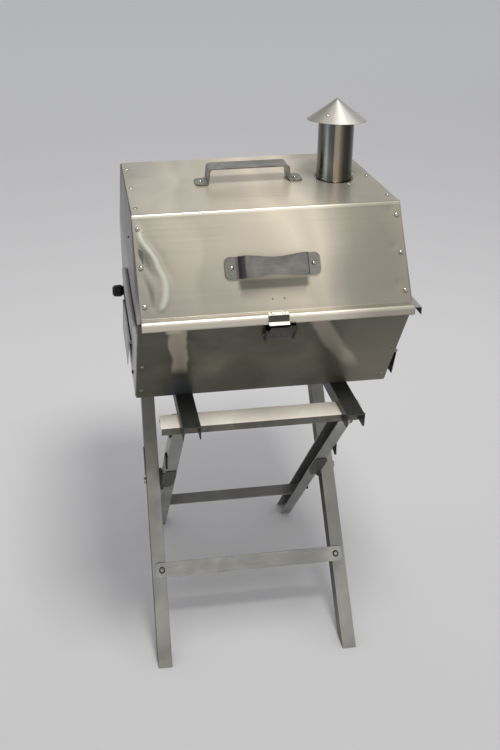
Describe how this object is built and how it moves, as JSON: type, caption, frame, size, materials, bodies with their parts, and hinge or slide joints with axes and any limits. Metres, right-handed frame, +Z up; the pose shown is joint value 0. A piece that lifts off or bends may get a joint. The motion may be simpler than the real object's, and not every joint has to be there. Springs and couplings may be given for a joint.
{
  "type": "charcoal oven",
  "caption": "Portable sheet-steel charcoal oven with hinged lid, chimney, latch, air flaps and rotary vent, standing on a folding cross-leg floor stand.",
  "frame": {"origin": "on the floor, below the middle of the oven body", "axes": "+X to the right, seen from the front, +Y to the back, where the lid is hinged, +Z up"},
  "size_m": [0.546, 0.5298, 1.204],
  "materials": {
    "brushed_steel": "brushed",
    "side_steel": "brushed",
    "polished_steel": "polished",
    "gunmetal_steel": "heat-tinted satin",
    "stand_steel": "brushed",
    "bright_steel": "brushed",
    "dark_steel": "satin",
    "black_steel": "satin",
    "black_plastic": "matte",
    "grey_plastic": "matte"
  },
  "bodies": {
    "stand_a": {"leg_a_left": "stand_steel", "leg_a_right": "stand_steel", "front_lower_bar": "stand_steel", "rear_tube": "stand_steel", "pivot_bolt_left": "brushed_steel", "pivot_bolt_right": "brushed_steel", "pivot_spacer_left": "grey_plastic", "pivot_spacer_right": "grey_plastic"},
    "stand_b": {"leg_b_left": "stand_steel", "leg_b_right": "stand_steel", "rear_lower_bar": "stand_steel", "top_hinge_bolt_left": "black_steel", "top_hinge_bolt_right": "black_steel"},
    "top_frame": {"rail_left": "dark_steel", "rail_right": "dark_steel", "front_crossbar": "bright_steel"},
    "oven": {"tub_shell": "brushed_steel", "tub_side_left": "side_steel", "tub_side_right": "side_steel", "side_ledge_left": "side_steel", "side_ledge_right": "side_steel", "latch_base": "black_steel", "latch_pin": "brushed_steel", "hinge_tub_leaf_left": "brushed_steel", "hinge_tub_leaf_right": "brushed_steel", "hinge_pin_left": "brushed_steel", "hinge_pin_right": "brushed_steel", "flap_rod_left": "dark_steel", "flap_rod_right": "dark_steel", "grate_rest_left": "brushed_steel", "grate_rest_right": "brushed_steel", "charcoal_tray": "dark_steel"},
    "lid": {"lid_shell": "brushed_steel", "lid_side_left": "side_steel", "lid_side_right": "side_steel", "chimney_pipe": "polished_steel", "chimney_collar": "brushed_steel", "chimney_cap": "brushed_steel", "cap_stay_1": "brushed_steel", "cap_stay_2": "brushed_steel", "cap_stay_3": "brushed_steel", "top_handle": "gunmetal_steel", "front_handle": "gunmetal_steel", "latch_keeper": "brushed_steel", "hinge_lid_leaf_left": "brushed_steel", "hinge_lid_leaf_right": "brushed_steel"},
    "latch": {"latch_lever": "black_steel"},
    "vent": {"vent_disc": "side_steel", "vent_knob": "black_plastic"},
    "flap_left": {"air_flap_left": "dark_steel"},
    "flap_right": {"air_flap_right": "dark_steel"},
    "grate": {"cooking_grate": "brushed_steel"}
  },
  "joints": [
    {"name": "stand_fold", "type": "hinge", "parent": "stand_a", "child": "stand_b", "pos_m": [0, 0.044, 0.306], "axis": [1, 0, 0], "range_deg": [-58, 0]},
    {"name": "top_frame_turn", "type": "hinge", "parent": "stand_b", "child": "top_frame", "pos_m": [0, -0.162, 0.6094], "axis": [1, 0, 0], "range_deg": [0, 29]},
    {"name": "oven_lift_off", "type": "slide", "parent": "top_frame", "child": "oven", "axis": [0, 0, 1], "range_m": [0, 0.3]},
    {"name": "lid_open", "type": "hinge", "parent": "oven", "child": "lid", "pos_m": [0, 0.245, 0.871], "axis": [-1, 0, 0], "range_deg": [0, 100]},
    {"name": "latch_release", "type": "hinge", "parent": "oven", "child": "latch", "pos_m": [0, -0.22628, 0.82344], "axis": [1, 0, 0], "range_deg": [0, 110]},
    {"name": "vent_turn", "type": "hinge", "parent": "oven", "child": "vent", "pos_m": [-0.25, 0.126, 0.748], "axis": [-1, 0, 0], "range_deg": [-22.5, 22.5]},
    {"name": "left_flap_open", "type": "hinge", "parent": "oven", "child": "flap_left", "pos_m": [-0.2536, 0.0075, 0.74], "axis": [0, 1, 0], "range_deg": [0, 70]},
    {"name": "right_flap_open", "type": "hinge", "parent": "oven", "child": "flap_right", "pos_m": [0.2536, -0.0895, 0.74], "axis": [0, -1, 0], "range_deg": [0, 70]},
    {"name": "grate_lift_out", "type": "slide", "parent": "oven", "child": "grate", "axis": [0, 0, 1], "range_m": [0, 0.1]}
  ],
  "couplings": [
    {"joint": "top_frame_turn", "follows": "stand_fold", "ratio": -0.5}
  ]
}
